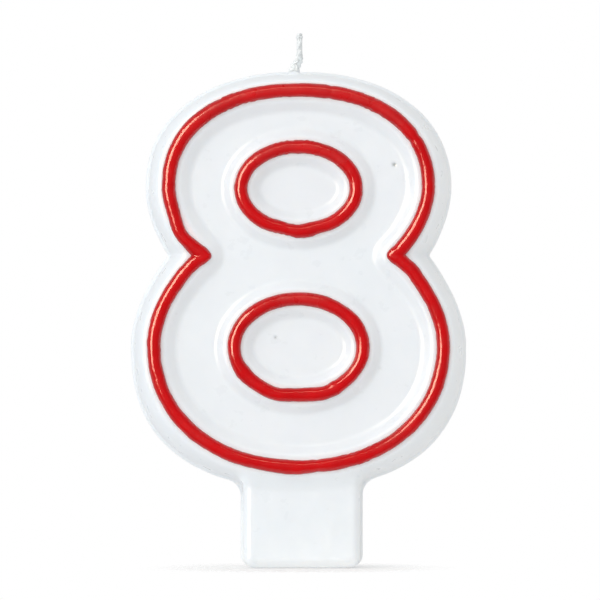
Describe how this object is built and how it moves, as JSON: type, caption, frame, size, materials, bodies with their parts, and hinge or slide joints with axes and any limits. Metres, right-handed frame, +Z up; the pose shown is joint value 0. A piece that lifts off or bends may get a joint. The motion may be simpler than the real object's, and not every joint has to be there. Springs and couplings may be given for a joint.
{
  "type": "number birthday candle",
  "caption": "Moulded wax numeral candle with sunk face, piped wax outlines, plaited wick and a flat foot that pushes into a cake.",
  "frame": {"origin": "on the surface that the foot stands on, midway across the width and midway through the depth of the whole candle", "axes": "+Z up along the numeral's height, +Y from the decorated face to the flat back, +X to the right of the numeral as it is read"},
  "size_m": [0.0522, 0.012, 0.0828],
  "materials": {
    "white_wax": "satin",
    "red_wax": "gloss",
    "wick_cotton": "matte"
  },
  "bodies": {
    "root": {"numeral_body": "white_wax", "outer_outline": "red_wax", "upper_counter_outline": "red_wax", "lower_counter_outline": "red_wax", "wick_strand_1": "wick_cotton", "wick_strand_2": "wick_cotton", "wick_strand_3": "wick_cotton"}
  },
  "joints": []
}
